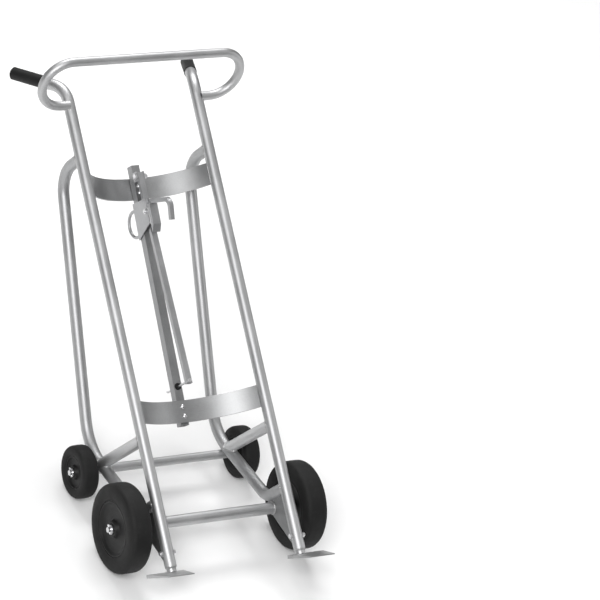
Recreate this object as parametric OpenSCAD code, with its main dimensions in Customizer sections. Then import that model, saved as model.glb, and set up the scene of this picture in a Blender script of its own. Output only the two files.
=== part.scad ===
// Four-wheel drum dolly: pipe frame, two toe plates, sliding chime hook on a mast.
// Every piece is drawn in the rail frame, then leaned back on to its four wheels.
// Rail frame: X across, Y behind the rails, Z up along the rails, zero at the main axle.

/* [Pipe frame] */
// Outside diameter of the rails, legs, braces and front cross tube
pipe_od = 33.4; // [32:0.1:34]
// Wall of the large pipe
pipe_wall = 3.4; // [2.5:0.1:4]
// Outside diameter of the handle loop and rear cross tube
small_od = 26.7; // [25:0.1:28]
// Wall of the small pipe
small_wall = 2.9; // [2:0.1:3.5]
// Distance between the centres of the two rails
rail_spacing = 413; // [405:1:425]
// Lower end of the rail below the main axle
rail_foot = 141; // [138:1:146]
// Height of the bend where the rail turns into a grip
grip_knee = 1250; // [1240:1:1270]
// Length of the grip arm from its bend
grip_arm = 188; // [180:1:200]

/* [Handle loop] */
// Width of the loop between the ends of its straight top
loop_straight = 476; // [470:1:486]
// Radius of the loop's round ends
loop_r = 77.8; // [74:0.1:82]
// Height of the loop's welded ends
loop_height = 1197; // [1190:1:1205]
// Forward lean of the loop from the rails
loop_lean = 57.3; // [54:0.1:60]

/* [Wheels] */
// Radius of the main wheels
main_r = 127; // [125:0.5:129]
// Width of the main wheels
main_w = 69; // [66:1:70]
// Distance from the middle plane to a main wheel
main_x = 281; // [279:1:290]
// Distance of the main axle behind the rails
main_y = 91; // [89:0.5:93]
// Radius of the rear wheels
rear_r = 76.2; // [74:0.1:78]
// Width of the rear wheels
rear_w = 50.8; // [48:0.1:52]
// Distance from the middle plane to a rear wheel
rear_x = 262.6; // [261:0.1:270]
// Distance of the rear axle behind the rails
rear_y = 297.4; // [296:0.1:300]
// Height of the rear axle above the main axle
rear_z = 213.3; // [212:0.1:216]
// Diameter of both axles
axle_d = 15.9; // [15:0.1:16]

/* [Mast and lock bar] */
// Side of the square mast tube
mast_side = 25.4; // [25:0.1:26]
// Wall of the mast tube
mast_wall = 3; // [2:0.1:4]
// Lean of the mast towards the drum, from the rails
mast_lean = 3.2; // [3.1:0.05:3.4]
// Width of the lock bar
bar_w = 17.5; // [16:0.1:18]
// Depth of the lock bar
bar_d = 12.7; // [12:0.1:13]
// Angle between the lock bar and the mast with the hook at the top
bar_angle = 4.65; // [4:0.05:4.7]

/* [Hook] */
// Side of the square bar that the chime hook is bent from
hook_side = 12.7; // [11:0.1:14]
// Height of the slider's side plates at the back
slider_h = 106; // [100:1:108]
// Height of the slider's side plates at the front
slider_front_h = 72; // [68:1:76]
// Diameter of the round rod of the slider's pull handle
pull_d = 9; // [8:0.1:10]

/* [Hidden] */
$fn = 96;
// Welded pieces stop this far short of each other.
weld_gap = 0.05;
// Hairline between the straights and the bends of a leg or the chime hook
bend_seam = 0.02;
// A cutting solid runs this far past what it cuts.
past = 5;

rail_x = rail_spacing/2;
pipe_r = pipe_od/2;
small_r = small_od/2;
axle_r = axle_d/2;
axle_gap = 0.1;

// Lean that puts all four wheels on the floor
axle_run = norm([rear_y-main_y, rear_z]);
lean = atan2(rear_z, rear_y-main_y)+asin((main_r-rear_r)/axle_run);

// Grip arm: turn of the bend, and the plan direction that it leaves in
grip_turn = 58;
grip_bearing = 61.6;
grip_bend_r = 75;
grip_start = 78;
grip_wall = 1.9;
grip_end = 4;
// A cut for a rail runs this far up past the start of its bend.
rail_over = 45;

// Rear leg, from the rail: straight back, down past the rear axle, forward to the rail
// Each run is [straight length, turn at its end, bend radius].
leg_top_z = 1043;
leg_runs = [[60.6, -75.8, 90], [635, -54.8, 150], [220.3, -50.6, 60], [81.6, 0, 0]];
brace_z = 221;
brace_end_y = 266;

// Gusset plate
gusset_t = 6.4;
gusset_points = [[8, 38], [104, 36], [108, 20], [107, -6], [100, -16], [24, -124],
    [18, -131], [8, -131]];

// Toe casting
toe_tilt = 17.2;
toe_back = [5.5, -154];
toe_len = 97.6;
toe_back_t = 10;
toe_front_t = 2.4;
toe_back_x = [-77.6, 40];
toe_front_x = [-56.5, 20];
toe_spigot_top = -78;
toe_neck_z = -154;
toe_neck_r = 7.5;
toe_cone_z = -143.5;
toe_bolt_z = -103;
bolt_r = 4;
nut_af = 13;
screw_r = 3.1;
head_gap = 0.6;

// Bands: height, thickness and the arc through the rails and the middle
band_t = 4.8;
band_h = 64;
lower_band_z = 310;
lower_band_y = 106.5;
lower_band_sag = 90;
upper_band_z = 968.5;
upper_band_y = 104.8;
upper_band_sag = 112;
band_reach = 198;
band_chord = 196;
lower_screws = [296, 324];
upper_screws = [950, 970];

// Mast frame: its front face passes through this point of the rail frame
mast_at_y = 113.6;
mast_at_z = 310;
mast_foot = -38;
mast_top = 722;

// Pivot of the lock bar, in the mast frame (Y behind the front face, Z up)
pivot_y = -15.8;
pivot_z = 685;
bracket_w = 27;
bracket_h = 27.7;
bracket_t = 3.2;
bar_below = 619;
bar_above = 11;
rod_below = 611;
rod_r = 3.2;
rod_back = 128;
rod_rise = 2.3;
rod_head_t = 4.2;
rod_hole_r = 6.5;
grommet_r = 10;
grommet_bore_r = 5.2;

// Slider, in the mast frame; its top edge lies this far below the pivot
slider_drop = 70;
slider_gap = 0.6;
slider_t = 3.2;
slider_top = pivot_z-slider_drop;
slider_in_x = max(mast_side, bar_w)/2+slider_gap;
slider_front_y = -49.2;
slider_back_y = mast_side+slider_gap+slider_t;
pin_r = 4.5;
pin_y = -38.6;
pin_z = pivot_z-107.6;

// Face bar in front of the slider and the hook welded over it
face_d = 13.2;
face_top = pivot_z-90.4;
face_foot = pivot_z-172;
face_w = 25.4;
hook_points = [[slider_front_y-1.4, pivot_z-81.4], [-161.5, pivot_z-104.3],
    [-149, pivot_z-161.7]];
hook_bends = [0, 22, 0];

// Pull handle behind the slider
pull_reach = 76;
pull_h = 84;

// Wheels: inner radius of the tyres, hub widths and the bushes' radius
main_tyre_in = 79.5;
rear_tyre_in = 47;
main_hub_w = main_w-2;
rear_hub_w = rear_w-1;
bush_r = 12.5;

// Where the floor and the middle of the length fall, in the rail frame
floor_lift = main_r+main_y*sin(lean);
shift_back = -502.22;

// ---- frames ----

// Rail frame leaned back on to the floor
module stance() {
    translate([0, shift_back, floor_lift]) rotate([-lean, 0, 0]) children();
}

// Side view plane at distance x: its X runs back, its Y up, its Z across
module side_plane(x) {
    translate([x, 0, 0]) rotate([90, 0, 90]) children();
}

// Mast frame: front face of the mast at Y = 0, Z up the mast
module mast_frame() {
    translate([0, mast_at_y, mast_at_z]) rotate([mast_lean, 0, 0]) children();
}

// Lock bar frame: pivot at zero, bar hanging down -Z
module bar_frame() {
    mast_frame() translate([0, pivot_y, pivot_z]) rotate([-bar_angle, 0, 0]) children();
}

// Vertical plane that a rail and its grip arm lie in
module grip_plane(side) {
    translate([side*rail_x, 0, 0])
        rotate([90, 0, side > 0 ? grip_bearing : 180-grip_bearing]) children();
}

module each_side() {
    for (side = [-1, 1]) scale_side(side) children();
}

module scale_side(side) {
    if (side > 0) children();
    else mirror([1, 0, 0]) children();
}

// ---- shared shapes ----

function heading(a, b) = (b-a)/norm(b-a);
function turn_at(p, i) = acos(heading(p[i-1], p[i])*heading(p[i], p[i+1]));
function cut_back(p, i, r) = i == 0 || i == len(p)-1 ? 0 : r*tan(turn_at(p, i)/2);

module ring(od, wall) {
    difference() {
        circle(d = od);
        if (wall > 0) circle(d = od-2*wall);
    }
}

// A route as runs: [straight length, turn at its end, bend radius], left turns positive
function hundredth(x) = round(x*100)/100;
function runs_of(p, r) = [for (i = [0:len(p)-2])
    [hundredth(norm(p[i+1]-p[i])-cut_back(p, i, r[i])-cut_back(p, i+1, r[i+1])),
     i < len(p)-2 ? hundredth(side_of(p, i)*turn_at(p, i+1)) : 0, r[i+1]]];
function side_of(p, i) = sign(cross(heading(p[i], p[i+1]), heading(p[i+1], p[i+2])));

// Moves to a route's start, facing along its first run
module at_start(p) {
    ahead = heading(p[0], p[1]);
    translate([p[0].x, p[0].y, 0]) rotate([0, 0, atan2(ahead.y, ahead.x)]) children();
}

// Pipe through the runs, starting at zero along X and bending in the XY plane.
// A seam leaves each straight that much short, so that it meets its bends cleanly.
module pipe_runs(runs, od, wall, seam = 0, i = 0) {
    length = runs[i][0];
    turn = runs[i][1];
    r = runs[i][2];
    if (length > 0.01)
        translate([seam/2, 0, 0]) rotate([0, 90, 0]) linear_extrude(length-seam) ring(od, wall);
    if (turn != 0) translate([length, 0, 0]) {
        mirror([0, turn < 0 ? 1 : 0, 0]) translate([0, r, 0]) rotate([0, 0, -90])
            rotate_extrude(angle = abs(turn)) translate([r, 0]) ring(od, wall);
        translate([0, sign(turn)*r, 0]) rotate([0, 0, turn]) translate([0, -sign(turn)*r, 0])
            pipe_runs(runs, od, wall, seam, i+1);
    }
}

module pipe_route(points, bends, od, wall) {
    at_start(points) pipe_runs(runs_of(points, bends), od, wall);
}

// Square bar through the same kind of runs
module bar_runs(runs, side, seam = 0, i = 0) {
    length = runs[i][0];
    turn = runs[i][1];
    r = runs[i][2];
    if (length > 0.01)
        translate([seam/2, -side/2, -side/2]) cube([length-seam, side, side]);
    if (turn != 0) translate([length, 0, 0]) {
        mirror([0, turn < 0 ? 1 : 0, 0]) translate([0, r, 0]) rotate([0, 0, -90])
            rotate_extrude(angle = abs(turn)) translate([r-side/2, -side/2]) square(side);
        translate([0, sign(turn)*r, 0]) rotate([0, 0, turn]) translate([0, -sign(turn)*r, 0])
            bar_runs(runs, side, seam, i+1);
    }
}

module bar_route(points, bends, side, seam) {
    at_start(points) bar_runs(runs_of(points, bends), side, seam);
}

module across(x0, x1, r) {
    translate([x0, 0, 0]) rotate([0, 90, 0]) cylinder(h = x1-x0, r = r);
}

module rail_solid(side, grow) {
    translate([side*rail_x, 0, -rail_foot-past])
        cylinder(h = rail_foot+past+grip_knee-grip_bend_r+rail_over, r = pipe_r+grow);
}

module leg_route(side, grow, wall) {
    side_plane(side*rail_x) translate([0, leg_top_z])
        pipe_runs(leg_runs, pipe_od+2*grow, wall, bend_seam);
}

module axle_line(y, z) {
    translate([0, y, z]) children();
}

module hex(af, h) {
    cylinder(h = h, d = af/cos(30), $fn = 6);
}

// ---- pipe frame ----

module rail(side) {
    tip = [sin(grip_turn), cos(grip_turn)]*grip_arm;
    difference() {
        grip_plane(side) pipe_route([[0, -rail_foot], [0, grip_knee], [tip.x, grip_knee+tip.y]],
            [0, grip_bend_r, 0], pipe_od, pipe_wall);
        axle_line(0, toe_bolt_z) across(side*rail_x-pipe_r-past, side*rail_x+pipe_r+past,
            bolt_r+0.2);
    }
}

module leg(side) {
    difference() {
        leg_route(side, 0, pipe_wall);
        rail_solid(side, weld_gap);
        axle_line(rear_y, rear_z) across(side*rail_x-pipe_od, side*rail_x+pipe_od,
            small_r+weld_gap);
    }
}

module brace(side) {
    difference() {
        side_plane(side*rail_x)
            pipe_route([[0, brace_z], [brace_end_y, brace_z]], [0, 0], pipe_od, pipe_wall);
        rail_solid(side, weld_gap);
        leg_route(side, weld_gap, 0);
    }
}

module gusset(side) {
    difference() {
        side_plane(side*rail_x) translate([0, 0, -gusset_t/2]) linear_extrude(gusset_t)
            polygon(gusset_points);
        rail_solid(side, weld_gap);
        leg_route(side, weld_gap, 0);
        axle_line(main_y, 0) across(side*rail_x-past*2, side*rail_x+past*2, axle_r+0.1);
    }
}

module front_cross_tube_shape() {
    reach = rail_x-gusset_t/2-weld_gap;
    axle_line(main_y, 0) translate([-reach, 0, 0]) rotate([0, 90, 0])
        linear_extrude(2*reach) ring(pipe_od, pipe_wall);
}

module rear_cross_tube_shape() {
    reach = rear_x-rear_w/2-3;
    axle_line(rear_y, rear_z) translate([-reach, 0, 0]) rotate([0, 90, 0])
        linear_extrude(2*reach) ring(small_od, small_wall);
}

module cross_handle_shape() {
    inner = rail_x+6;
    outer = loop_straight/2+loop_r;
    difference() {
        translate([0, -9, loop_height]) rotate([90+loop_lean, 0, 0])
            pipe_route([[inner, 0], [outer, 0], [outer, 2*loop_r], [-outer, 2*loop_r],
                [-outer, 0], [-inner, 0]], [0, loop_r, loop_r, loop_r, loop_r, 0],
                small_od, small_wall);
        rail_solid(1, weld_gap);
        rail_solid(-1, weld_gap);
    }
}

module band(y, z, sag, screws) {
    arc_r = (band_chord*band_chord+sag*sag)/(2*sag);
    half = asin(band_reach/arc_r);
    difference() {
        translate([0, y-arc_r, z-band_h/2]) rotate([0, 0, 90-half])
            rotate_extrude(angle = 2*half) translate([arc_r, 0]) square([band_t, band_h]);
        rail_solid(1, weld_gap);
        rail_solid(-1, weld_gap);
        for (screw_z = screws)
            translate([0, y-past, screw_z]) rotate([-90, 0, 0])
                cylinder(h = band_t+2*past, r = screw_r+0.3);
    }
}

module grip(side) {
    grip_plane(side) translate([0, grip_knee]) rotate([0, 0, -grip_turn])
        rotate([-90, 0, 0]) rotate_extrude() polygon([
            [pipe_r+weld_gap, grip_start], [pipe_r+grip_wall-0.8, grip_start],
            [pipe_r+grip_wall, grip_start+0.8], [pipe_r+grip_wall, grip_arm+grip_end-3],
            [pipe_r+grip_wall-3, grip_arm+grip_end], [0, grip_arm+grip_end],
            [0, grip_arm+weld_gap], [pipe_r+weld_gap, grip_arm+weld_gap]]);
}

// ---- toe castings ----

module toe(side) {
    scale_side(side) translate([rail_x, 0, 0]) difference() {
        union() {
            translate([0, 0, toe_neck_z-4]) cylinder(h = toe_spigot_top-toe_neck_z+4,
                r = pipe_r-pipe_wall-0.2);
            translate([0, 0, toe_neck_z-4]) cylinder(h = toe_cone_z-toe_neck_z+4,
                r1 = toe_neck_r, r2 = pipe_r-0.4);
            translate([0, 0, toe_cone_z]) cylinder(h = -rail_foot-toe_cone_z-weld_gap,
                r = pipe_r-0.4);
            toe_plate();
        }
        axle_line(0, toe_bolt_z) across(-pipe_od, pipe_od, bolt_r+0.2);
    }
}

// Tapered plate, wide at the back, thin at the front
module toe_plate() {
    intersection() {
        translate([0, toe_back.x, toe_back.y]) rotate([toe_tilt, 0, 0]) rotate([90, 0, 90])
            translate([0, 0, -toe_len]) linear_extrude(2*toe_len) polygon([
                [0, 0], [-toe_len, 0], [-toe_len, -toe_front_t], [-toe_len+8, -toe_front_t-1.4],
                [0, -toe_back_t]]);
        translate([0, 0, toe_back.y-2*toe_len]) linear_extrude(3*toe_len) polygon([
            [-toe_back_x.y, toe_back.x+4], [-toe_back_x.x, toe_back.x+4],
            [-toe_front_x.x, toe_back.x-toe_len*cos(toe_tilt)],
            [-toe_front_x.y, toe_back.x-toe_len*cos(toe_tilt)]]);
    }
}

module toe_bolt_set() {
    each_side() axle_line(0, toe_bolt_z) {
        translate([rail_x-pipe_r-weld_gap-5.3, 0, 0]) rotate([0, 90, 0]) hex(nut_af, 5.3);
        across(rail_x-pipe_r-weld_gap-1, rail_x+pipe_r+10, bolt_r);
    }
}

module toe_nut_set() {
    each_side() axle_line(0, toe_bolt_z) translate([rail_x+pipe_r+weld_gap, 0, 0])
        rotate([0, 90, 0]) difference() {
            hex(nut_af, 7);
            translate([0, 0, -1]) cylinder(h = 9, r = bolt_r+weld_gap);
        }
}

// ---- mast and lock bar ----

module mast_shape() {
    inner = mast_side-2*mast_wall;
    difference() {
        mast_frame() translate([0, 0, mast_foot]) difference() {
            translate([-mast_side/2, 0, 0]) cube([mast_side, mast_side, mast_top-mast_foot]);
            translate([-inner/2, mast_wall, -past])
                cube([inner, inner, mast_top-mast_foot+2*past]);
        }
        screw_lines(screw_r+0.3);
        mast_frame() translate([0, -past, pivot_z-rod_below]) rotate([-90, 0, 0])
            cylinder(h = mast_side+2*past, r = rod_hole_r);
    }
}

// The four screws that hold the mast to the bands, as cylinders of radius r
module screw_lines(r) {
    for (screw_z = lower_screws)
        translate([0, lower_band_y-past, screw_z]) rotate([-90, 0, 0]) cylinder(h = 60, r = r);
    for (screw_z = upper_screws)
        translate([0, upper_band_y-48, screw_z]) rotate([-90, 0, 0]) cylinder(h = 70, r = r);
}

module dome_screw(length) {
    rotate([-90, 0, 0]) {
        cylinder(h = length, r = screw_r);
        intersection() {
            translate([0, 0, 3.2]) sphere(r = 8.3);
            translate([0, 0, -6]) cylinder(h = 6, r = 7);
        }
    }
}

// Front and back faces of the leaning mast where a level screw crosses them
function mast_front(z) = mast_at_y-(z-mast_at_z)*tan(mast_lean);
function mast_back(z) = mast_front(z)+mast_side/cos(mast_lean);
module band_screw_set() {
    for (screw_z = lower_screws)
        translate([0, lower_band_y-0.35, screw_z])
            dome_screw(mast_back(screw_z)-lower_band_y+9);
    for (screw_z = upper_screws)
        translate([0, mast_front(screw_z)-head_gap, screw_z])
            dome_screw(upper_band_y+band_t-mast_front(screw_z)+9);
}

module band_nut_set() {
    for (screw_z = lower_screws)
        translate([0, mast_back(screw_z)+head_gap, screw_z]) band_nut();
    for (screw_z = upper_screws)
        translate([0, upper_band_y+band_t+0.4, screw_z]) band_nut();
}

module band_nut() {
    rotate([-90, 0, 0]) difference() {
        union() {
            cylinder(h = 1.4, r = 8);
            translate([0, 0, 1.4]) hex(11, 5.4);
        }
        translate([0, 0, -1]) cylinder(h = 9, r = screw_r+weld_gap);
    }
}

// Clevis on the front of the mast that the lock bar hangs from
module pivot_bracket_shape() {
    cheek_x = bar_w/2+slider_gap;
    mast_frame() translate([0, -weld_gap, pivot_z]) difference() {
        union() {
            for (side = [-1, 1])
                translate([side > 0 ? cheek_x : -cheek_x-bracket_t, -19.5-bar_d/2+4, -bracket_h/2])
                    cube([bracket_t, 19.5+bar_d/2-4, bracket_h]);
            translate([-cheek_x-bracket_t, -bracket_t, -bracket_h/2])
                cube([2*(cheek_x+bracket_t), bracket_t, bracket_h]);
        }
        translate([0, pivot_y+weld_gap, 0]) across(-bracket_w, bracket_w, bolt_r+0.1);
    }
}

module pivot_bolt_shape() {
    face_x = bar_w/2+slider_gap+bracket_t+weld_gap;
    mast_frame() translate([0, pivot_y, pivot_z]) {
        translate([-face_x-5.5, 0, 0]) rotate([0, 90, 0]) hex(15, 5.5);
        across(-face_x-1, face_x+10, bolt_r);
    }
}

module pivot_nut_shape() {
    face_x = bar_w/2+slider_gap+bracket_t+weld_gap;
    mast_frame() translate([face_x, pivot_y, pivot_z]) rotate([0, 90, 0]) difference() {
        hex(13, 7);
        translate([0, 0, -1]) cylinder(h = 9, r = bolt_r+weld_gap);
    }
}

module lock_bar_shape() {
    bar_frame() difference() {
        translate([-bar_w/2, -bar_d/2, -bar_below]) cube([bar_w, bar_d, bar_below+bar_above]);
        across(-bar_w, bar_w, bolt_r+0.15);
        translate([0, 0, -rod_below]) rotate([-90+rod_rise, 0, 0])
            cylinder(h = 3*bar_d, r = rod_r+weld_gap, center = true);
    }
}

module lock_rod_shape() {
    bar_frame() translate([0, 0, -rod_below]) rotate([-90+rod_rise, 0, 0]) difference() {
        union() {
            translate([0, 0, -bar_d/2-3]) cylinder(h = bar_d/2+3+rod_back, r = rod_r);
            translate([0, 0, -bar_d/2-5]) cylinder(h = rod_head_t, r = 5.4);
        }
        translate([0, 0, rod_back-6]) across(-2*rod_r, 2*rod_r, 1.3);
    }
}

module rod_pin_shape() {
    bar_frame() translate([0, 0, -rod_below]) rotate([-90+rod_rise, 0, 0])
        translate([0, 0, rod_back-6]) {
            across(-9, 9, 1.2);
            translate([9, 0, 0]) sphere(r = 2);
        }
}

// Rubber ring in the mast's front face, round the rod
module rod_grommet_shape() {
    mast_frame() translate([0, 0, pivot_z-rod_below]) rotate([-90, 0, 0]) difference() {
        union() {
            translate([0, 0, -2.3]) cylinder(h = 2.3-weld_gap, r = grommet_r);
            translate([0, 0, -1]) cylinder(h = mast_wall+1, r = rod_hole_r-weld_gap);
        }
        translate([0, 0, -past]) cylinder(h = mast_wall+2*past, r = grommet_bore_r);
    }
}

// ---- hook slider ----

module slider_housing_shape() {
    mast_frame() difference() {
        for (side = [-1, 1])
            translate([side > 0 ? slider_in_x : -slider_in_x-slider_t, 0, 0])
                rotate([90, 0, 90]) linear_extrude(slider_t) polygon([
                    [slider_back_y, slider_top], [slider_front_y, slider_top-2],
                    [slider_front_y, slider_top-2-slider_front_h],
                    [slider_back_y, slider_top-slider_h]]);
        translate([0, pin_y, pin_z]) across(-mast_side, mast_side, pin_r+weld_gap);
    }
    mast_frame() translate([-slider_in_x-1, mast_side+slider_gap, slider_top-slider_h+1])
        cube([2*slider_in_x+2, slider_t, slider_h-1]);
    mast_frame() translate([-slider_in_x-1, slider_front_y, slider_top-2-slider_front_h])
        cube([2*slider_in_x+2, slider_t, slider_front_h]);
}

module slider_pin_shape() {
    face_x = slider_in_x+slider_t+weld_gap;
    mast_frame() translate([0, pin_y, pin_z]) {
        across(-face_x-6, face_x+6, pin_r);
        for (side = [-1, 1])
            translate([side > 0 ? face_x : -face_x-3, 0, 0]) rotate([0, 90, 0])
                cylinder(h = 3, r = 7.4);
    }
}

module face_bar_shape() {
    front = slider_front_y-weld_gap;
    mast_frame() translate([-face_w/2, 0, 0]) rotate([90, 0, 90]) linear_extrude(face_w)
        polygon([[front, face_top], [front, face_foot], [front-face_d, face_foot+21],
            [front-face_d, face_top]]);
}

module chime_hook_shape() {
    mast_frame() side_plane(0) bar_route(hook_points, hook_bends, hook_side, bend_seam);
}

module pull_handle_shape() {
    back = slider_back_y+weld_gap;
    reach = pull_reach-pull_d/2;
    half = (pull_h-pull_d)/2;
    mid = slider_top-52;
    mast_frame() side_plane(0) pipe_route([[back, mid+half], [back+reach, mid+half],
        [back+reach, mid-half], [back, mid-half]], [0, half, half, 0], pull_d, 0);
}

// ---- wheels ----

module tyre(r, w, inner, edge) {
    rotate([0, 90, 0]) rotate_extrude() {
        translate([inner, -w/2]) square([r-edge-inner, w]);
        translate([inner, -w/2+edge]) square([r-inner, w-2*edge]);
        for (side = [-1, 1])
            translate([r-edge, side*(w/2-edge)]) circle(r = edge);
    }
}

// Moulded centre: rim ring, web and hub
module wheel_centre(rim_r, rim_t, rim_w, web_t, hub_r, hub_w, bore_r) {
    rotate([0, 90, 0]) rotate_extrude() polygon([
        [bore_r, -hub_w/2], [hub_r-2, -hub_w/2], [hub_r, -hub_w/2+2], [hub_r+5, -web_t/2],
        [rim_r-rim_t-4, -web_t/2], [rim_r-rim_t, -rim_w/2+2], [rim_r-rim_t+1, -rim_w/2],
        [rim_r, -rim_w/2], [rim_r, rim_w/2], [rim_r-rim_t+1, rim_w/2],
        [rim_r-rim_t, rim_w/2-2], [rim_r-rim_t-4, web_t/2], [hub_r+5, web_t/2],
        [hub_r, hub_w/2-2], [hub_r-2, hub_w/2], [bore_r, hub_w/2]]);
}

module bush(r, length) {
    rotate([0, 90, 0]) translate([0, 0, -length/2]) linear_extrude(length)
        difference() {
            circle(r = r);
            circle(r = axle_r+axle_gap);
        }
}

module main_place(side) {
    translate([side*main_x, main_y, 0]) children();
}

module rear_place(side) {
    translate([side*rear_x, rear_y, rear_z]) children();
}

module main_tyre(side) {
    main_place(side) tyre(main_r, main_w, main_tyre_in, 9);
}

module rear_tyre(side) {
    rear_place(side) tyre(rear_r, rear_w, rear_tyre_in, 8);
}

module main_centre(side) {
    main_place(side) wheel_centre(main_tyre_in-weld_gap, 8, main_w-9, 40, 24, main_hub_w,
        bush_r+weld_gap);
}

module rear_centre(side) {
    rear_place(side) wheel_centre(rear_tyre_in-weld_gap, 5, rear_w-7, 28, 19, rear_hub_w,
        bush_r+weld_gap);
}

module main_bush(side) {
    main_place(side) bush(bush_r, main_hub_w);
}

module rear_bush(side) {
    rear_place(side) bush(bush_r, rear_hub_w);
}

module main_axle_shape() {
    reach = main_x+main_w/2+10;
    axle_line(main_y, 0) difference() {
        across(-reach, reach, axle_r);
        for (side = [-1, 1])
            translate([side*(reach-4.5), 0, 0]) cylinder(h = 2*axle_d, r = 2, center = true);
    }
}

module rear_axle_shape() {
    reach = rear_x+rear_w/2+9;
    axle_line(rear_y, rear_z) difference() {
        across(-reach, reach, axle_r);
        for (side = [-1, 1])
            translate([side*(reach-4.5), 0, 0]) cylinder(h = 2*axle_d, r = 2, center = true);
    }
}

module washer(x0, x1, r) {
    translate([x0, 0, 0]) rotate([0, 90, 0]) linear_extrude(x1-x0) difference() {
        circle(r = r);
        circle(r = axle_r+0.1);
    }
}

module main_spacer_set() {
    each_side() axle_line(main_y, 0)
        washer(rail_x+gusset_t/2+weld_gap, main_x-main_hub_w/2-0.5, 13);
}

module main_washer_set() {
    each_side() axle_line(main_y, 0)
        washer(main_x+main_hub_w/2+0.5, main_x+main_hub_w/2+3, 14);
}

module rear_washer_set() {
    each_side() axle_line(rear_y, rear_z) {
        washer(rear_x-rear_w/2-3+weld_gap, rear_x-rear_hub_w/2-0.5, 13);
        washer(rear_x+rear_hub_w/2+0.5, rear_x+rear_hub_w/2+3, 12.5);
    }
}

// Split pin through the axle end
module cotter(x) {
    translate([x, 0, 0]) {
        translate([0, 0, -axle_r-5]) cylinder(h = axle_d+7, r = 1.9);
        translate([0, 0, axle_r+4.2]) rotate([0, 90, 0])
            rotate_extrude() translate([2.4, 0]) circle(r = 1.2, $fn = 24);
    }
}

module main_cotter_set() {
    each_side() axle_line(main_y, 0) cotter(main_x+main_w/2+5.5);
}

module rear_cotter_set() {
    each_side() axle_line(rear_y, rear_z) cotter(rear_x+rear_w/2+4.5);
}

// ---- nodes ----

module rail_left() { color("silver") stance() rail(-1); }
module rail_right() { color("silver") stance() rail(1); }
module leg_left() { color("silver") stance() leg(-1); }
module leg_right() { color("silver") stance() leg(1); }
module brace_left() { color("silver") stance() brace(-1); }
module brace_right() { color("silver") stance() brace(1); }
module gusset_left() { color("silver") stance() gusset(-1); }
module gusset_right() { color("silver") stance() gusset(1); }
module front_cross_tube() { color("silver") stance() front_cross_tube_shape(); }
module rear_cross_tube() { color("silver") stance() rear_cross_tube_shape(); }
module cross_handle() { color("silver") stance() cross_handle_shape(); }
module lower_band() {
    color("gainsboro") stance() band(lower_band_y, lower_band_z, lower_band_sag, lower_screws);
}
module upper_band() {
    color("gainsboro") stance() band(upper_band_y, upper_band_z, upper_band_sag, upper_screws);
}
module mast() { color("silver") stance() mast_shape(); }
module toe_left() { color("darkgray") stance() toe(-1); }
module toe_right() { color("darkgray") stance() toe(1); }
module toe_bolts() { color("lightslategray") stance() toe_bolt_set(); }
module toe_nuts() { color("lightslategray") stance() toe_nut_set(); }
module band_screws() { color("lightslategray") stance() band_screw_set(); }
module band_nuts() { color("lightslategray") stance() band_nut_set(); }
module pivot_bracket() { color("darkgray") stance() pivot_bracket_shape(); }
module pivot_bolt() { color("lightslategray") stance() pivot_bolt_shape(); }
module pivot_nut() { color("lightslategray") stance() pivot_nut_shape(); }
module rod_grommet() { color("#1c1c1c") stance() rod_grommet_shape(); }
module main_axle() { color("lightslategray") stance() main_axle_shape(); }
module main_spacers() { color("lightslategray") stance() main_spacer_set(); }
module main_washers() { color("lightslategray") stance() main_washer_set(); }
module main_cotters() { color("lightslategray") stance() main_cotter_set(); }
module rear_axle() { color("lightslategray") stance() rear_axle_shape(); }
module rear_washers() { color("lightslategray") stance() rear_washer_set(); }
module rear_cotters() { color("lightslategray") stance() rear_cotter_set(); }
module grip_left() { color("#1c1c1c") stance() grip(-1); }
module grip_right() { color("#1c1c1c") stance() grip(1); }
module tyre_main_left() { color("#262626") stance() main_tyre(-1); }
module centre_main_left() { color("#303030") stance() main_centre(-1); }
module bush_main_left() { color("lightslategray") stance() main_bush(-1); }
module tyre_main_right() { color("#262626") stance() main_tyre(1); }
module centre_main_right() { color("#303030") stance() main_centre(1); }
module bush_main_right() { color("lightslategray") stance() main_bush(1); }
module tyre_rear_left() { color("#262626") stance() rear_tyre(-1); }
module centre_rear_left() { color("#303030") stance() rear_centre(-1); }
module bush_rear_left() { color("lightslategray") stance() rear_bush(-1); }
module tyre_rear_right() { color("#262626") stance() rear_tyre(1); }
module centre_rear_right() { color("#303030") stance() rear_centre(1); }
module bush_rear_right() { color("lightslategray") stance() rear_bush(1); }
module slider_housing() { color("darkgray") stance() slider_housing_shape(); }
module slider_pin() { color("lightslategray") stance() slider_pin_shape(); }
module face_bar() { color("darkgray") stance() face_bar_shape(); }
module chime_hook() { color("darkgray") stance() chime_hook_shape(); }
module pull_handle() { color("darkgray") stance() pull_handle_shape(); }
module lock_bar() { color("silver") stance() lock_bar_shape(); }
module lock_rod() { color("lightslategray") stance() lock_rod_shape(); }
module rod_pin() { color("lightslategray") stance() rod_pin_shape(); }

rail_left();
rail_right();
leg_left();
leg_right();
brace_left();
brace_right();
gusset_left();
gusset_right();
front_cross_tube();
rear_cross_tube();
cross_handle();
lower_band();
upper_band();
mast();
toe_left();
toe_right();
toe_bolts();
toe_nuts();
band_screws();
band_nuts();
pivot_bracket();
pivot_bolt();
pivot_nut();
rod_grommet();
main_axle();
main_spacers();
main_washers();
main_cotters();
rear_axle();
rear_washers();
rear_cotters();
grip_left();
grip_right();
tyre_main_left();
centre_main_left();
bush_main_left();
tyre_main_right();
centre_main_right();
bush_main_right();
tyre_rear_left();
centre_rear_left();
bush_rear_left();
tyre_rear_right();
centre_rear_right();
bush_rear_right();
slider_housing();
slider_pin();
face_bar();
chime_hook();
pull_handle();
lock_bar();
lock_rod();
rod_pin();
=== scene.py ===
import math

import bmesh
import bpy
import numpy as np
from mathutils import Matrix, Vector


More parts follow.
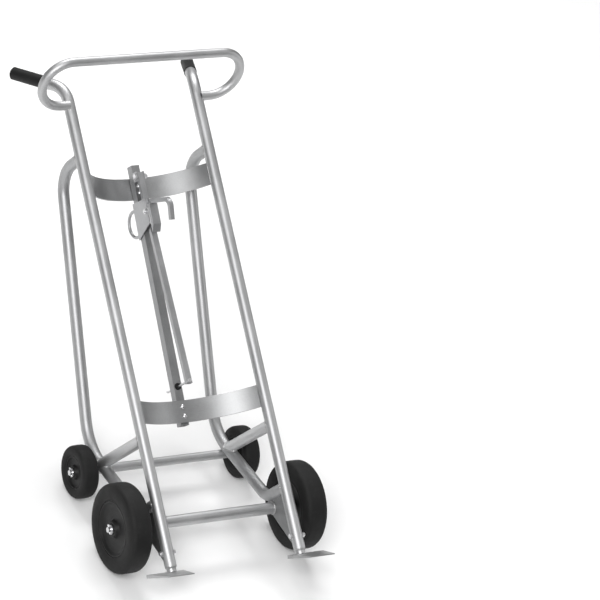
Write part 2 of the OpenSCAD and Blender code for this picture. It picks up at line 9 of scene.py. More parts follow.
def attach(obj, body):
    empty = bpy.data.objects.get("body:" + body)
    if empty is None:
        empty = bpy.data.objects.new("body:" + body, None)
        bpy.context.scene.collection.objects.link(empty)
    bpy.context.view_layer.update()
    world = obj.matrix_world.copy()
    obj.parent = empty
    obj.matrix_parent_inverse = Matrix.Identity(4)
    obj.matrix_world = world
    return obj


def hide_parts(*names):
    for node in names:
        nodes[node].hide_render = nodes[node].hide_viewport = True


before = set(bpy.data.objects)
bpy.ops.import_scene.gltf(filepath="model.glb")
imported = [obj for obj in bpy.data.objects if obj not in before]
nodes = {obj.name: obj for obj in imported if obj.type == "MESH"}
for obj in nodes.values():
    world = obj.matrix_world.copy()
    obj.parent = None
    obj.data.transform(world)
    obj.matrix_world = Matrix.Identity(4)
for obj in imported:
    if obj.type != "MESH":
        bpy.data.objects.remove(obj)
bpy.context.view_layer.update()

# ---- the part's own frames, in millimetres, as part.scad has them ----

RAIL_X = 206.5
PIPE_R = 16.7
SMALL_R = 13.35
MAIN_R, REAR_R = 127.0, 76.2
MAIN_X, REAR_X = 281.0, 262.6
MAIN_Y = 91.0
REAR_Y, REAR_Z = 297.4, 213.3
SHIFT_BACK = -502.22
LEAN = math.atan2(REAR_Z, REAR_Y - MAIN_Y) + math.asin(
    (MAIN_R - REAR_R) / math.hypot(REAR_Y - MAIN_Y, REAR_Z))
FLOOR_LIFT = MAIN_R + MAIN_Y * math.sin(LEAN)
MAST_LEAN = math.radians(3.2)
MAST_AT_Y, MAST_AT_Z = 113.6, 310.0
PIVOT_Z = 685.0
LEG_TOP_Z = 1043.0
# A leg's straight runs from the top down: (length, turn after it in degrees, bend radius)
LEG_RUNS = [(60.6, -75.8, 90.0), (635.0, -54.8, 150.0), (220.3, -50.6, 60.0), (81.6, 0.0, 0.0)]
BRACE_Z = 221.0
LOOP_Y, LOOP_Z = -9.0, 1197.0
RAIL_FOOT_Z, RAIL_KNEE_Z = -141.0, 1180.0
# Each band: (y of its middle, z, how deep it curves)
LOWER_BAND = (106.5, 310.0, 90.0)
UPPER_BAND = (104.8, 968.5, 112.0)
BAND_HALF_SPAN = 196.0


def stance(p):
    """Rail frame in millimetres to the row frame in metres."""
    x, y, z = p
    c, s = math.cos(LEAN), math.sin(LEAN)
    return Vector((x, y * c + z * s + SHIFT_BACK, -y * s + z * c + FLOOR_LIFT)) / 1000


def from_mast(p):
    """Mast frame to rail frame."""
    x, y, z = p
    c, s = math.cos(MAST_LEAN), math.sin(MAST_LEAN)
    return (x, MAST_AT_Y + y * c - z * s, MAST_AT_Z + y * s + z * c)


# ---- materials ----

def new_material(name):
    mat = bpy.data.materials.new(name)
    mat.use_nodes = True
    tree = mat.node_tree
    shader = tree.nodes["Principled BSDF"]
    return mat, tree, shader


def add(tree, kind, **values):
    node = tree.nodes.new(kind)
    for key, value in values.items():
        if key in node.inputs:
            node.inputs[key].default_value = value
        else:
            setattr(node, key, value)
    return node


def coords(tree, stretch=(1, 1, 1), turn=0.0):
    """Object coordinates, turned about X and stretched."""
    source = tree.nodes.new("ShaderNodeTexCoord")
    turned = tree.nodes.new("ShaderNodeMapping")
    turned.inputs["Rotation"].default_value = (turn, 0, 0)
    scaled = tree.nodes.new("ShaderNodeMapping")
    scaled.inputs["Scale"].default_value = stretch
    tree.links.new(source.outputs["Object"], turned.inputs["Vector"])
    tree.links.new(turned.outputs["Vector"], scaled.inputs["Vector"])
    return scaled.outputs["Vector"]


def noise(tree, vector, scale, detail=4.0, rough=0.55):
    node = add(tree, "ShaderNodeTexNoise", Scale=scale, Detail=detail, Roughness=rough)
    tree.links.new(vector, node.inputs["Vector"])
    return node.outputs["Fac"]


def grey(value):
    return (value, value, value)


def ramp(tree, fac, low, high, at=(0.3, 0.7)):
    node = tree.nodes.new("ShaderNodeValToRGB")
    node.color_ramp.elements[0].position = at[0]
    node.color_ramp.elements[1].position = at[1]
    node.color_ramp.elements[0].color = (*low, 1)
    node.color_ramp.elements[1].color = (*high, 1)
    tree.links.new(fac, node.inputs["Fac"])
    return node.outputs["Color"]


def spread(tree, fac, low, high):
    """Stretches the middle of a noise's range over low to high."""
    node = add(tree, "ShaderNodeMapRange")
    node.inputs["From Min"].default_value = 0.3
    node.inputs["From Max"].default_value = 0.7
    node.inputs["To Min"].default_value = low
    node.inputs["To Max"].default_value = high
    tree.links.new(fac, node.inputs["Value"])
    return node.outputs["Result"]


# A Mix node has a pair of inputs for each data type: these are the colours'
MIX_A, MIX_B, MIX_RESULT = 6, 7, 2


def mix_colours(tree, blend, a, b):
    node = add(tree, "ShaderNodeMix", data_type="RGBA", blend_type=blend)
    node.inputs["Factor"].default_value = 1.0
    tree.links.new(a, node.inputs[MIX_A])
    tree.links.new(b, node.inputs[MIX_B])
    return node.outputs[MIX_RESULT]


def bump(tree, shader, heights):
    """Chains bumps: [(height, strength, distance)]."""
    last = None
    for height, strength, distance in heights:
        node = add(tree, "ShaderNodeBump", Strength=strength, Distance=distance)
        tree.links.new(height, node.inputs["Height"])
        if last:
            tree.links.new(last, node.inputs["Normal"])
        last = node.outputs["Normal"]
    tree.links.new(last, shader.inputs["Normal"])


def metal(name, dark, light, rough, grain=(1, 1, 1), grain_scale=900.0, turn=0.0,
          cast=0.0, grain_depth=0.00012):
    """Bare metal: broad mottling, fine grain lines and small pits."""
    mat, tree, shader = new_material(name)
    shader.inputs["Metallic"].default_value = 1.0
    plain = coords(tree)
    broad = noise(tree, plain, 9.0, 5.0)
    fine = noise(tree, coords(tree, grain, turn), grain_scale, 3.0, 0.6)
    specks = noise(tree, plain, 260.0, 2.0, 0.7)
    tone = mix_colours(tree, "MULTIPLY", ramp(tree, broad, dark, light),
                       ramp(tree, fine, grey(0.86), grey(1.0)))
    tone = mix_colours(tree, "MULTIPLY", tone,
                       ramp(tree, specks, grey(0.93), grey(1.0), (0.25, 0.5)))
    tree.links.new(tone, shader.inputs["Base Color"])
    uneven = add(tree, "ShaderNodeMath", operation="MULTIPLY_ADD")
    tree.links.new(fine, uneven.inputs[0])
    uneven.inputs[1].default_value = 0.10
    tree.links.new(spread(tree, broad, rough[0], rough[1]), uneven.inputs[2])
    tree.links.new(uneven.outputs[0], shader.inputs["Roughness"])
    heights = [(fine, 0.25, grain_depth)]
    if cast:
        heights.append((noise(tree, plain, 420.0, 6.0, 0.65), 0.55, cast))
    bump(tree, shader, heights)
    return mat


def moulded(name, dark, light, rough, pores, pore_scale=700.0, dust=0.0):
    """Black rubber or plastic: mottled tone, fine pores and a little dust."""
    mat, tree, shader = new_material(name)
    shader.inputs["Specular IOR Level"].default_value = 0.28
    plain = coords(tree)
    broad = noise(tree, plain, 22.0, 6.0, 0.6)
    fine = noise(tree, plain, pore_scale, 3.0, 0.6)
    tone = ramp(tree, broad, dark, light)
    if dust:
        patches = noise(tree, plain, 60.0, 8.0, 0.7)
        tone = mix_colours(tree, "ADD", tone,
                           ramp(tree, patches, grey(0.0), grey(dust), (0.52, 0.8)))
    tree.links.new(tone, shader.inputs["Base Color"])
    tree.links.new(spread(tree, broad, rough[0], rough[1]), shader.inputs["Roughness"])
    bump(tree, shader, [(fine, 0.4, pores), (broad, 0.15, 0.0004)])
    return mat


# Which way the grain runs: along the rails, from side to side or from front to back
ALONG = (1.0, 1.0, 0.03)
ACROSS = (0.03, 1.0, 1.0)
FORE_AND_AFT = (1.0, 0.03, 1.0)

pipe_metal = metal("satin_pipe", (0.47, 0.473, 0.478), (0.58, 0.583, 0.588), (0.43, 0.50),
                   ALONG, 700.0, LEAN)
# Painted shade: the legs' pipe is the rails' aluminium made darker, standing in for the shade
# the legs sit in
leg_metal_painted_shade = metal("satin_leg_painted_shade", (0.41, 0.413, 0.418), (0.52, 0.523, 0.528), (0.44, 0.52),
                  ALONG, 700.0, LEAN)
cross_metal = metal("satin_cross_pipe", (0.47, 0.473, 0.478), (0.58, 0.583, 0.588),
                    (0.43, 0.50), ACROSS, 700.0, LEAN)
# Painted highlight: the braces' pipe is the rails' aluminium made lighter, standing in for the
# floor's reflection and highlight along the braces
brace_metal_painted_highlight = metal("satin_brace_painted_highlight", (0.58, 0.583, 0.588), (0.68, 0.683, 0.688), (0.40, 0.48),
                    FORE_AND_AFT, 700.0, LEAN)
band_metal = metal("brushed_band", (0.36, 0.363, 0.367), (0.46, 0.463, 0.467), (0.36, 0.46),
                   ACROSS, 900.0, LEAN, grain_depth=0.0002)
mast_metal = metal("brushed_mast", (0.30, 0.303, 0.307), (0.39, 0.393, 0.397), (0.36, 0.46),
                   ALONG, 800.0, LEAN)
plate_metal = metal("satin_plate", (0.25, 0.253, 0.256), (0.34, 0.343, 0.346), (0.40, 0.52),
                    ALONG, 800.0, LEAN)
toe_metal = metal("cast_toe", (0.42, 0.423, 0.426), (0.56, 0.563, 0.566), (0.34, 0.46),
                  cast=0.0006, grain_scale=500.0)
weld_metal = metal("weld_bead", grey(0.42), grey(0.60), (0.28, 0.40), cast=0.0003)
zinc_metal = metal("zinc_plate", (0.66, 0.66, 0.67), (0.82, 0.82, 0.83), (0.20, 0.32),
                   grain_scale=500.0)
bar_metal = metal("plated_bar", (0.38, 0.383, 0.39), (0.52, 0.523, 0.53), (0.34, 0.48),
                  ALONG, 800.0, LEAN, cast=0.00015)
bush_metal = metal("turned_steel", (0.25, 0.25, 0.26), (0.36, 0.36, 0.37), (0.25, 0.38))
tyre_black = moulded("tyre_rubber", grey(0.006), grey(0.011), (0.6, 0.78), 0.0003, dust=0.006)
centre_black = moulded("wheel_plastic", grey(0.005), grey(0.009), (0.45, 0.6), 0.0004, 380.0,
                       dust=0.003)
grip_black = moulded("grip_rubber", grey(0.006), grey(0.010), (0.5, 0.65), 0.0004, 520.0)

WHEELS = {"main_left": (-1, MAIN_X, "main"), "main_right": (1, MAIN_X, "main"),
          "rear_left": (-1, REAR_X, "rear"), "rear_right": (1, REAR_X, "rear")}
NODE_LOOKS = {
    pipe_metal: ["rail_left", "rail_right"],
    leg_metal_painted_shade: ["leg_left", "leg_right"],
    cross_metal: ["front_cross_tube", "rear_cross_tube", "cross_handle"],
    brace_metal_painted_highlight: ["brace_left", "brace_right"],
    band_metal: ["lower_band", "upper_band"],
    mast_metal: ["mast"],
    plate_metal: ["gusset_left", "gusset_right"],
    toe_metal: ["toe_left", "toe_right"],
    zinc_metal: ["toe_bolts", "toe_nuts", "band_screws", "band_nuts", "pivot_bolt", "pivot_nut",
                 "main_axle", "main_spacers", "main_washers", "main_cotters", "rear_axle",
                 "rear_washers", "rear_cotters", "slider_pin", "lock_rod", "rod_pin"],
    bar_metal: ["pivot_bracket", "slider_housing", "face_bar", "chime_hook", "pull_handle",
                "lock_bar"],
    grip_black: ["grip_left", "grip_right", "rod_grommet"],
    bush_metal: ["bush_" + w for w in WHEELS],
    tyre_black: ["tyre_" + w for w in WHEELS],
    centre_black: ["centre_" + w for w in WHEELS],
}
for look, names in NODE_LOOKS.items():
    for name in names:
        nodes[name].data.materials.clear()
        nodes[name].data.materials.append(look)


def make_piece(name, verts, faces, look, body, slot):
    mesh = bpy.data.meshes.new(name)
    mesh.from_pydata([tuple(v) for v in verts], [], faces)
    mesh.validate()
    work = bmesh.new()
    work.from_mesh(mesh)
    bmesh.ops.recalc_face_normals(work, faces=work.faces)
    work.to_mesh(mesh)
    work.free()
    for face in mesh.polygons:
        face.use_smooth = True
    mesh.materials.append(look)
    obj = bpy.data.objects.new(name, mesh)
    bpy.context.scene.collection.objects.link(obj)
    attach(obj, body)
    return obj


# ---- wheels: lathed tyres and centres with moulded steps ----

LATHE_STEPS = 144
ROUNDING_STEPS = 4
# A rounding smaller than this is left as a sharp corner
LEAST_ROUNDING = 0.05
# A rounding takes up no more than this share of either side
MOST_OF_SIDE = 0.45


def rounded(profile, radii):
    """Rounds a closed profile's corners. radii gives one radius for each corner."""
    out = []
    count = len(profile)
    for i, r in enumerate(radii):
        p = np.array(profile[i], float)
        a = np.array(profile[i - 1], float) - p
        b = np.array(profile[(i + 1) % count], float) - p
        la, lb = np.linalg.norm(a), np.linalg.norm(b)
        cut = min(r, MOST_OF_SIDE * la, MOST_OF_SIDE * lb)
        if cut < LEAST_ROUNDING:
            out.append(tuple(p))
            continue
        start, end = p + a / la * cut, p + b / lb * cut
        for k in range(ROUNDING_STEPS + 1):
            t = k / ROUNDING_STEPS
            out.append(tuple((1 - t) ** 2 * start + 2 * t * (1 - t) * p + t ** 2 * end))
    return out


def lathe(profile, centre):
    """Closed ring of revolution about X. profile is [(x, r)] in millimetres."""
    verts, faces = [], []
    n = len(profile)
    for k in range(LATHE_STEPS):
        a = 2 * math.pi * k / LATHE_STEPS
        for x, r in profile:
            verts.append(Vector((x, r * math.cos(a), r * math.sin(a))) / 1000 + centre)
    for k in range(LATHE_STEPS):
        m = (k + 1) % LATHE_STEPS
        for i in range(n):
            j = (i + 1) % n
            faces.append((k * n + i, k * n + j, m * n + j, m * n + i))
    return verts, faces


def mirrored(half, radii):
    """A profile that is the same on both sides, from its outer half."""
    return rounded(half + [(-x, r) for x, r in reversed(half)], radii + radii[::-1])


# (distance from the middle, radius, corner radius) from the bore out to the tread
MAIN_TYRE = [(28.5, 79.5, 0.6), (30.4, 80, 0.8), (31.2, 84, 2), (33.6, 92, 4), (34.4, 100, 4),
             (33.8, 110, 6), (30, 121.5, 8), (22, 126.4, 8), (1.4, 127, 0.4)]
REAR_TYRE = [(20.5, 47, 0.6), (22.4, 47.6, 0.8), (23.2, 50, 1.5), (24.6, 54, 3), (25.3, 60, 3),
             (24.4, 67.5, 5), (21, 73.4, 6), (14, 75.8, 6), (1.2, 76.2, 0.4)]
MAIN_CENTRE = [(33.4, 12.6, 0), (33.4, 17, 1), (32.4, 18, 1), (32.4, 21.2, 1.5),
               (29, 23.6, 2), (21.6, 26.4, 3), (20, 31, 3), (20, 58, 10), (23.4, 69, 8),
               (28.4, 73.4, 4), (29.8, 75.4, 1.5), (29.8, 77.6, 1), (28.4, 79.4, 0.6)]
REAR_CENTRE = [(24.8, 12.6, 0), (24.8, 15, 0.6), (24, 15.8, 0.6), (24, 17.4, 1),
               (21.5, 18.9, 1.5), (15, 21.4, 2), (14, 25, 2), (14, 37, 4), (16.4, 41.2, 2),
               (20.4, 42.8, 1.5), (21.7, 44, 1), (21.7, 45.8, 0.6), (20.6, 46.9, 0.4)]

for wheel, (side, wheel_x, size) in WHEELS.items():
    hub = stance((side * wheel_x, MAIN_Y, 0) if size == "main" else
                 (side * wheel_x, REAR_Y, REAR_Z))
    for part, table, look, slot in (
            ("tyre", MAIN_TYRE if size == "main" else REAR_TYRE, tyre_black, "tyre_rubber"),
            ("centre", MAIN_CENTRE if size == "main" else REAR_CENTRE, centre_black,
             "wheel_plastic")):
        shape = mirrored([(x, r) for x, r, _ in table], [c for _, _, c in table])
        piece = make_piece(f"moulded_{part}_{wheel}", *lathe(shape, hub), look,
                           "wheel_" + wheel, slot)
        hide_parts(f"{part}_{wheel}")


# ---- weld beads ----

BEAD_SIDES = 8
BEAD_STEP = 0.8
RIPPLE_PITCH = 3.2
RIPPLE_DEPTH = 0.16
# An open bead starts at this share of its radius and swells to all of it
TAPER_FROM, TAPER_GAIN = 0.35, 0.5 / 3
# Points round a joint, how far along the pipe it is sought, and what counts as touching
JOINT_STEPS = 72
JOINT_REACH = 120.0
TOUCH_GAP = 0.12
# Spacing of the points along a leg's straight runs
LEG_STEP = 3
# A run of a joint with no more points than this gets no bead
FEWEST_POINTS = 5
# Bead radii
PIPE_BEAD = 2.5
SLEEVE_BEAD = 2.4
PLATE_BEAD = 2.3
SMALL_PIPE_BEAD = 2.2
BAND_BEAD = 2.1
FACE_BAR_BEAD = 1.7
BRACKET_BEAD = 1.3


def leg_line():
    """Centre line of a leg in the side plane, [(y, z)], and its last run's angle."""
    at = np.array([0.0, LEG_TOP_Z])
    a = 0.0
    line = [at.copy()]
    for length, turn, r in LEG_RUNS:
        ahead = np.array([math.cos(a), math.sin(a)])
        count = max(2, int(length / LEG_STEP))
        line += [at + ahead * length * k / count for k in range(1, count + 1)]
        at = at + ahead * length
        if turn:
            sign = math.copysign(1, turn)
            middle = at + sign * r * np.array([-math.sin(a), math.cos(a)])
            count = max(4, int(abs(turn)))
            for k in range(1, count + 1):
                b = a + math.radians(turn) * k / count
                line.append(middle + sign * r * np.array([math.sin(b), -math.cos(b)]))
            a += math.radians(turn)
            at = line[-1].copy()
    return np.array(line), a


LEG, LEG_END_TURN = leg_line()


def rail_path(side):
    return np.array([(side * RAIL_X, 0, z) for z in np.linspace(RAIL_FOOT_Z, RAIL_KNEE_Z, 300)])


def leg_path(side):
    return np.array([(side * RAIL_X, y, z) for y, z in LEG])


def gap_to(path, p):
    """Distance from a point to a path of short straights."""
    a, b = path[:-1], path[1:]
    ab = b - a
    t = np.clip(((p - a) * ab).sum(1) / (ab * ab).sum(1), 0, 1)
    return np.linalg.norm(a + ab * t[:, None] - p, axis=1).min()


def joint_line(start, ahead, radius, path, reach=JOINT_REACH):
    """Where a pipe that runs ahead from start meets the large pipe round a path."""
    start, ahead = np.array(start, float), np.array(ahead, float)
    ahead /= np.linalg.norm(ahead)
    e1 = np.cross(ahead, (1.0, 0, 0) if abs(ahead[0]) < 0.9 else (0, 1.0, 0))
    e1 /= np.linalg.norm(e1)
    e2 = np.cross(ahead, e1)
    near = path[np.linalg.norm(path - (start + ahead * reach / 2), axis=1) < reach]
    hits = []
    for k in range(JOINT_STEPS):
        a = 2 * math.pi * k / JOINT_STEPS
        p = start + radius * (math.cos(a) * e1 + math.sin(a) * e2)
        s, found = 0.0, None
        while s < reach:
            gap = gap_to(near, p + ahead * s) - PIPE_R
            if gap < TOUCH_GAP:
                found = p + ahead * s
                break
            s += max(gap * 0.8, 0.1)
        hits.append(found)
    return hits


def smooth_line(points, closed):
    """Even steps along a line of points, and the line's length."""
    pts = np.array(points + ([points[0]] if closed else []), float)
    seg = np.linalg.norm(np.diff(pts, axis=0), axis=1)
    at = np.concatenate([[0], np.cumsum(seg)])
    count = max(6, int(at[-1] / BEAD_STEP))
    marks = np.linspace(0, at[-1], count, endpoint=not closed)
    return np.column_stack([np.interp(marks, at, pts[:, k]) for k in range(3)]), at[-1]


def bead(name, points, radius, body="frame", slot="aluminium_pipe", closed=True):
    """A rippled weld bead along points of the rail frame."""
    line, length = smooth_line(points, closed)
    n = len(line)
    waves = max(3, round(length / RIPPLE_PITCH))
    verts, faces = [], []
    side_way = None
    for i in range(n):
        back = line[i - 1] if closed or i else line[i]
        front = line[(i + 1) % n] if closed or i < n - 1 else line[i]
        ahead = (front - back) / max(np.linalg.norm(front - back), 1e-9)
        if side_way is None:
            side_way = np.cross(ahead, (0.3, 0.5, 0.8))
        side_way = side_way - ahead * side_way.dot(ahead)
        side_way /= np.linalg.norm(side_way)
        up_way = np.cross(ahead, side_way)
        wave = (i / n * waves) % 1.0
        r = radius * (1 - RIPPLE_DEPTH * wave)
        if not closed:
            r *= min(1.0, TAPER_FROM + TAPER_GAIN * min(i, n - 1 - i))
        for k in range(BEAD_SIDES):
            a = 2 * math.pi * k / BEAD_SIDES
            verts.append(stance(line[i] + r * (math.cos(a) * side_way + math.sin(a) * up_way)))
    rows = n if closed else n - 1
    for i in range(rows):
        j = (i + 1) % n
        if closed and j == 0:
            # The frame may have turned on its way round: join each corner to its nearest.
            first = np.array([verts[k] for k in range(BEAD_SIDES)])
            last = np.array(verts[i * BEAD_SIDES])
            shift = int(np.argmin(np.linalg.norm(first - last, axis=1)))
        else:
            shift = 0
        for k in range(BEAD_SIDES):
            m = (k + 1) % BEAD_SIDES
            faces.append((i * BEAD_SIDES + k, i * BEAD_SIDES + m,
                          j * BEAD_SIDES + (m + shift) % BEAD_SIDES,
                          j * BEAD_SIDES + (k + shift) % BEAD_SIDES))
    if not closed:
        faces.append(tuple(range(BEAD_SIDES)))
        faces.append(tuple(range((n - 1) * BEAD_SIDES, n * BEAD_SIDES)))
    make_piece(name, verts, faces, weld_metal, body, slot)


def bead_at_joint(name, radius, hits):
    """One bead round the joint, or open beads along the parts that meet."""
    if all(h is not None for h in hits):
        bead(name, hits, radius)
        return
    count = len(hits)
    first = next(k for k in range(count) if hits[k] is None)
    run, part = [], 0
    for k in range(first, first + count + 1):
        hit = hits[k % count]
        if hit is not None:
            run.append(hit)
        else:
            if len(run) > FEWEST_POINTS:
                bead(f"{name}_{part}", run, radius, closed=False)
                part += 1
            run = []


def circle(middle, radius, axis, count=48):
    """Points round a circle whose middle line runs along the axis."""
    ways = {"x": ((0, 1, 0), (0, 0, 1)), "y": ((1, 0, 0), (0, 0, 1))}[axis]
    e1, e2 = (np.array(w, float) for w in ways)
    return [np.array(middle, float) + radius * (math.cos(a) * e1 + math.sin(a) * e2)
            for a in (2 * math.pi * k / count for k in range(count))]


# Where each joint is sought from: a place on the joining pipe, short of the other pipe
LEG_TOP_FROM_Y = 60
LEG_FOOT_BACK = 75
BRACE_FRONT_FROM_Y, BRACE_REAR_FROM_Y = 80, 170
BRACE_REAR_REACH = 110
LOOP_FROM_X = 245
TUBE_IN_FROM_X, TUBE_OUT_FROM_X = 160, 232
# The front cross tube's bead: its place along the axle and how far out from the tube
FRONT_TUBE_END_X, SLEEVE_OUT = 202.4, 0.6
# The gusset's weld to the rail: its two faces, its place behind the rail and its ends
GUSSET_FACE, GUSSET_WELD_Y, GUSSET_WELD_ENDS = 3.4, 16.6, (-124, 14)

leg_foot = LEG[-1]
leg_foot_ahead = np.array([0, math.cos(LEG_END_TURN), math.sin(LEG_END_TURN)])
for side, word in ((-1, "left"), (1, "right")):
    x = side * RAIL_X
    rail, leg = rail_path(side), leg_path(side)
    forward, back, inward, outward = (0, -1, 0), (0, 1, 0), (-side, 0, 0), (side, 0, 0)
    bead_at_joint(f"weld_leg_top_{word}", PIPE_BEAD,
                  joint_line((x, LEG_TOP_FROM_Y, LEG_TOP_Z), forward, PIPE_R, rail))
    foot_from = np.array([x, leg_foot[0], leg_foot[1]]) - LEG_FOOT_BACK * leg_foot_ahead
    bead_at_joint(f"weld_leg_foot_{word}", PIPE_BEAD,
                  joint_line(foot_from, leg_foot_ahead, PIPE_R, rail))
    bead_at_joint(f"weld_brace_front_{word}", PIPE_BEAD,
                  joint_line((x, BRACE_FRONT_FROM_Y, BRACE_Z), forward, PIPE_R, rail))
    bead_at_joint(f"weld_brace_rear_{word}", PIPE_BEAD,
                  joint_line((x, BRACE_REAR_FROM_Y, BRACE_Z), back, PIPE_R, leg,
                             BRACE_REAR_REACH))
    bead_at_joint(f"weld_loop_{word}", SMALL_PIPE_BEAD,
                  joint_line((side * LOOP_FROM_X, LOOP_Y, LOOP_Z), inward, SMALL_R, rail))
    bead_at_joint(f"weld_rear_tube_in_{word}", SMALL_PIPE_BEAD,
                  joint_line((side * TUBE_IN_FROM_X, REAR_Y, REAR_Z), outward, SMALL_R, leg))
    bead_at_joint(f"weld_rear_tube_out_{word}", SMALL_PIPE_BEAD,
                  joint_line((side * TUBE_OUT_FROM_X, REAR_Y, REAR_Z), inward, SMALL_R, leg))
    bead(f"weld_front_tube_{word}",
         circle((side * FRONT_TUBE_END_X, MAIN_Y, 0), PIPE_R + SLEEVE_OUT, "x"), SLEEVE_BEAD)
    for face in (-1, 1):
        plate_x = x + face * GUSSET_FACE
        bead(f"weld_gusset_rail_{word}_{'in' if face * side < 0 else 'out'}",
             [(plate_x, GUSSET_WELD_Y, z) for z in np.linspace(*GUSSET_WELD_ENDS, 40)],
             PLATE_BEAD, closed=False)


BAND_T = 4.8
BAND_WELD_HALF = 30
# How far the beads' middles stand out from the band's front and back faces and the rail
FRONT_OUT, BACK_OUT, RAIL_OUT = 0.6, 0.4, 0.3
ARC_STEPS = 4000


def band_beads(word, y, z, sag):
    """Upright beads where a band's two faces meet the rails."""
    arc_r = (BAND_HALF_SPAN ** 2 + sag ** 2) / (2 * sag)
    for side, hand in ((-1, "left"), (1, "right")):
        for face, r in (("front", arc_r - FRONT_OUT), ("back", arc_r + BAND_T + BACK_OUT)):
            for k in range(ARC_STEPS):
                a = math.asin(0.999) * k / ARC_STEPS
                bx, by = r * math.sin(a), y - arc_r + r * math.cos(a)
                if math.hypot(bx - RAIL_X, by) < PIPE_R + RAIL_OUT:
                    break
            line = [(side * bx, by, z + h)
                    for h in np.linspace(-BAND_WELD_HALF, BAND_WELD_HALF, 30)]
            bead(f"weld_{word}_{hand}_{face}", line, BAND_BEAD, closed=False,
                 slot="aluminium_plate")


band_beads("lower_band", *LOWER_BAND)
band_beads("upper_band", *UPPER_BAND)

# Beads on the sliding hook and the lock bar's bracket, placed in the mast frame
SLIDER_BACK, SLIDER_FRONT = 29.2, -49.2
PULL_MID, PULL_HALF, PULL_WELD_R = PIVOT_Z - 122, 37.5, 5.2
FACE_BAR_WELD_X, FACE_BAR_WELD_ENDS = 12.9, (PIVOT_Z - 150, PIVOT_Z - 95)
HOOK_WELD_X, HOOK_WELD_ENDS = 6.5, (-63.5, -50.5)
HOOK_ROOT_Y, HOOK_UNDER_Z, HOOK_SLOPE = -51, PIVOT_Z - 87.6, 0.2
HOOK_TOP_Z, HOOK_TOP_HALF = PIVOT_Z - 74.6, 6
BRACKET_WELD_X, BRACKET_WELD_Y, BRACKET_WELD_HALF = 12.7, -0.9, 12
# How far the beads' middles stand out from the slider's back and front
PULL_OUT, FACE_BAR_OUT, HOOK_TOP_OUT = 0.8, 0.6, 1.0


def plated_bead(name, points, radius, body="hook_slider", closed=False):
    bead(name, [from_mast(p) for p in points], radius, body, "plated_steel", closed)


for word, height in (("upper", PULL_MID + PULL_HALF), ("lower", PULL_MID - PULL_HALF)):
    plated_bead(f"weld_pull_{word}",
                circle((0, SLIDER_BACK + PULL_OUT, height), PULL_WELD_R, "y", 32),
                SMALL_PIPE_BEAD, closed=True)
for side, word in ((-1, "left"), (1, "right")):
    plated_bead(f"weld_face_bar_{word}",
                [(side * FACE_BAR_WELD_X, SLIDER_FRONT - FACE_BAR_OUT, z)
                 for z in np.linspace(*FACE_BAR_WELD_ENDS, 24)], FACE_BAR_BEAD)
    plated_bead(f"weld_hook_{word}",
                [(side * HOOK_WELD_X, y, HOOK_UNDER_Z - HOOK_SLOPE * (HOOK_ROOT_Y - y))
                 for y in np.linspace(*HOOK_WELD_ENDS, 14)], PLATE_BEAD)
    plated_bead(f"weld_bracket_{word}",
                [(side * BRACKET_WELD_X, BRACKET_WELD_Y, PIVOT_Z + h)
                 for h in np.linspace(-BRACKET_WELD_HALF, BRACKET_WELD_HALF, 16)],
                BRACKET_BEAD, "frame")
plated_bead("weld_hook_top",
            [(x, SLIDER_FRONT - HOOK_TOP_OUT, HOOK_TOP_Z)
             for x in np.linspace(-HOOK_TOP_HALF, HOOK_TOP_HALF, 14)], BAND_BEAD)

# ---- floor, light and camera ----

FLOOR_SIDE = 30.0
floor_mesh = bpy.data.meshes.new("floor")
half = FLOOR_SIDE / 2
floor_mesh.from_pydata([(-half, -half, 0), (half, -half, 0), (half, half, 0), (-half, half, 0)],
                       [], [(0, 1, 2, 3)])
floor = bpy.data.objects.new("floor", floor_mesh)
bpy.context.scene.collection.objects.link(floor)
floor_look, floor_tree, floor_shader = new_material("pale_floor")
floor_tree.links.new(ramp(floor_tree, noise(floor_tree, coords(floor_tree), 3.0),
                          grey(0.90), grey(0.93)),
                     floor_shader.inputs["Base Color"])
floor_shader.inputs["Roughness"].default_value = 0.85
floor_mesh.materials.append(floor_look)

world = bpy.data.worlds.new("studio")
bpy.context.scene.world = world
world.use_nodes = True
WORLD_STRENGTH = 0.55
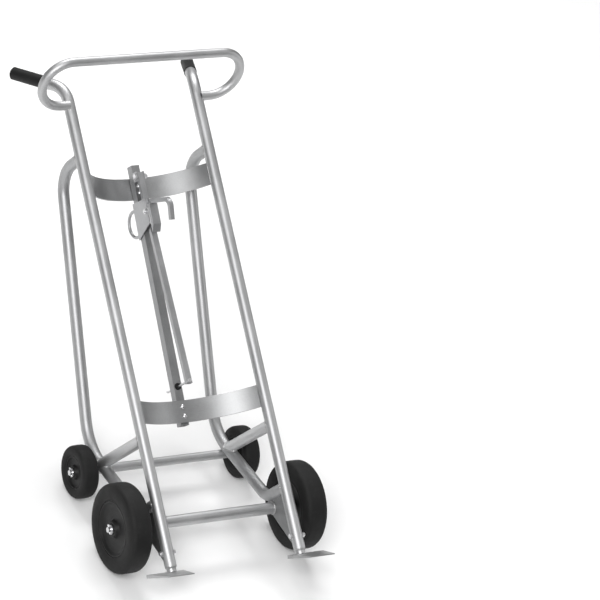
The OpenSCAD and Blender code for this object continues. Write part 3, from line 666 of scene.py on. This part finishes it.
# The studio's walls: dark at the horizon, pale overhead
sky = world.node_tree
sky_way = sky.nodes.new("ShaderNodeTexCoord")
sky_split = sky.nodes.new("ShaderNodeSeparateXYZ")
sky.links.new(sky_way.outputs["Generated"], sky_split.inputs[0])
sky_tone = ramp(sky, sky_split.outputs["Z"], (0.05, 0.05, 0.052), grey(1.0), (0.15, 0.85))
sky.links.new(sky_tone, sky.nodes["Background"].inputs["Color"])
sky.nodes["Background"].inputs["Strength"].default_value = WORLD_STRENGTH


def soft_light(name, place, target, size, watts):
    light = bpy.data.lights.new(name, "AREA")
    light.shape = "RECTANGLE"
    light.size, light.size_y = size
    light.energy = watts
    obj = bpy.data.objects.new(name, light)
    obj.location = place
    obj.rotation_euler = (Vector(target) - Vector(place)).to_track_quat("-Z", "Y").to_euler()
    bpy.context.scene.collection.objects.link(obj)


MIDDLE = (0.0, 0.0, 0.5)
soft_light("key", (-3.8, -3.6, 4.4), MIDDLE, (2.8, 3.2), 300)
soft_light("top", (0.6, 3.2, 4.6), (0.0, 1.2, 0.0), (3.0, 2.0), 190)
soft_light("side", (4.2, -1.4, 2.0), MIDDLE, (0.8, 2.6), 30)

bpy.context.scene.view_settings.view_transform = "Standard"

# Where the camera stands in the row frame, in metres, and how it is turned
CAMERA_PLACE = Vector((-5.4439, -7.3236, 7.1227))
CAMERA_AZIMUTH = math.radians(38.66)
CAMERA_DIP = math.radians(35.244)
CAMERA_ROLL = math.radians(18.897)
LENS_MM = 240.06
SENSOR_MM = 36.0

camera_data = bpy.data.cameras.new("camera")
camera_data.lens = LENS_MM
camera_data.sensor_width = SENSOR_MM
camera_data.clip_end = 100
camera = bpy.data.objects.new("camera", camera_data)
ahead = Vector((math.sin(CAMERA_AZIMUTH) * math.cos(CAMERA_DIP),
                math.cos(CAMERA_AZIMUTH) * math.cos(CAMERA_DIP), -math.sin(CAMERA_DIP)))
level = Vector((math.cos(CAMERA_AZIMUTH), -math.sin(CAMERA_AZIMUTH), 0))
upright = level.cross(ahead)
right = level * math.cos(CAMERA_ROLL) + upright * math.sin(CAMERA_ROLL)
up = upright * math.cos(CAMERA_ROLL) - level * math.sin(CAMERA_ROLL)
turn = Matrix((right, up, -ahead)).transposed()
camera.matrix_world = Matrix.Translation(CAMERA_PLACE) @ turn.to_4x4()
bpy.context.scene.collection.objects.link(camera)
bpy.context.scene.camera = camera


def plain(box):
    return [[float(v) for v in corner] for corner in box]
